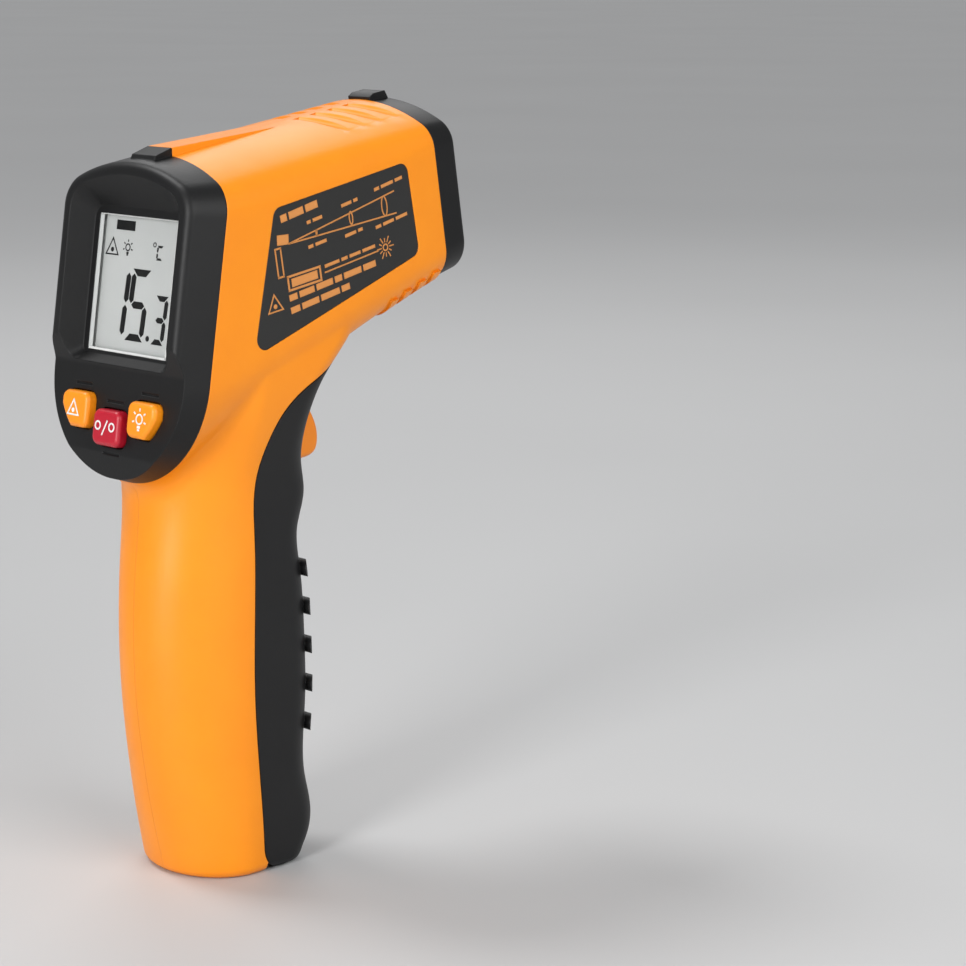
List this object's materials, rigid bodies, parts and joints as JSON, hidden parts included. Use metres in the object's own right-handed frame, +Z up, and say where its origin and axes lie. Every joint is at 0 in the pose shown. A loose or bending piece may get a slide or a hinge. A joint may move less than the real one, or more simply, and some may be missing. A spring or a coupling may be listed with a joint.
{
  "type": "infrared thermometer",
  "caption": "Pistol-shaped infrared thermometer with a barrel, rear display, push buttons, trigger and a hinged battery door in the upright grip",
  "frame": {"origin": "centre of the flat base at the foot of the grip, on the plane of symmetry, where the instrument stands", "axes": "+X the way the barrel aims, seen from above; +Y the instrument's left side, +Z up from the base; the barrel rises 9 degrees from +X"},
  "size_m": [0.081, 0.043, 0.1556],
  "materials": {
    "orange_shell": "injection moulded ABS, satin, light orange",
    "black_shell": "injection moulded ABS, fine spark-eroded grain",
    "soft_black_grip": "soft-touch coated plastic with ribs",
    "orange_trigger": "moulded plastic, satin",
    "orange_button": "moulded plastic, satin, white symbol",
    "red_button": "moulded plastic, satin",
    "clear_window": "clear acrylic",
    "lcd_glass": "pale grey liquid-crystal glass",
    "milky_plastic": "milky light guide",
    "inner_plastic": "black moulded plastic",
    "grey_rubber": "striped conductive rubber",
    "circuit_board": "glass-epoxy board with solder mask",
    "chip_plastic": "black moulded epoxy",
    "switch_body": "moulded switch case",
    "screw_steel": "zinc-plated steel",
    "pin_steel": "ground steel",
    "spring_steel": "spring wire",
    "contact_plate": "nickel-plated strip",
    "battery_jacket": "printed film over a steel can, no lettering",
    "ring_metal": "black anodised ring",
    "infrared_lens": "coated infrared lens",
    "sensor_can": "nickel can",
    "laser_brass": "turned brass barrel",
    "label_film": "printed film"
  },
  "bodies": {
    "housing": {"backlight_panel": "milky_plastic", "battery_1": "battery_jacket", "battery_2": "battery_jacket", "battery_contacts": "contact_plate", "battery_tray": "inner_plastic", "board_chips": "chip_plastic", "board_screws": "screw_steel", "button_switches": "switch_body", "buzzer": "chip_plastic", "contact_springs": "spring_steel", "display_bezel": "black_shell", "door_hinge_pin": "pin_steel", "elastomer_connector": "grey_rubber", "front_cap": "black_shell", "housing_screws": "screw_steel", "ir_lens": "infrared_lens", "label_left": "label_film", "label_right": "label_film", "laser_module": "laser_brass", "lcd_holder": "inner_plastic", "lcd_panel": "lcd_glass", "lcd_window": "clear_window", "left_housing": "orange_shell", "lens_ring": "ring_metal", "lens_tube": "inner_plastic", "main_board": "circuit_board", "right_housing": "orange_shell", "sensor_board": "circuit_board", "thermopile_sensor": "sensor_can", "trigger_board": "circuit_board", "trigger_pin": "pin_steel", "trigger_spring": "spring_steel", "trigger_switch": "switch_body"},
    "trigger_body": {"trigger": "orange_trigger"},
    "laser_button_body": {"laser_button": "orange_button"},
    "unit_button_body": {"unit_button": "red_button"},
    "backlight_button_body": {"backlight_button": "orange_button"},
    "battery_door_body": {"battery_door": "soft_black_grip"}
  },
  "joints": [
    {"name": "trigger_pull", "type": "hinge", "parent": "housing", "child": "trigger_body", "pos_m": [0.0105, 0, 0.1025], "axis": [0, 1, 0], "range_deg": [0, 8], "stiffness_Nm_per_rad": 0.25, "springref_deg": -6.88, "deforming": ["trigger_spring"]},
    {"name": "laser_button_press", "type": "slide", "parent": "housing", "child": "laser_button_body", "axis": [0.9877, 0, -0.1564], "range_m": [0, 0.0008], "stiffness_N_per_m": 900, "springref_m": -0.0006},
    {"name": "unit_button_press", "type": "slide", "parent": "housing", "child": "unit_button_body", "axis": [0.9877, 0, -0.1564], "range_m": [0, 0.0008], "stiffness_N_per_m": 900, "springref_m": -0.0006},
    {"name": "backlight_button_press", "type": "slide", "parent": "housing", "child": "backlight_button_body", "axis": [0.9877, 0, -0.1564], "range_m": [0, 0.0008], "stiffness_N_per_m": 900, "springref_m": -0.0006},
    {"name": "battery_door_hinge", "type": "hinge", "parent": "housing", "child": "battery_door_body", "pos_m": [0.0051, 0, 0.0054], "axis": [0, 1, 0], "range_deg": [0, 60]}
  ]
}
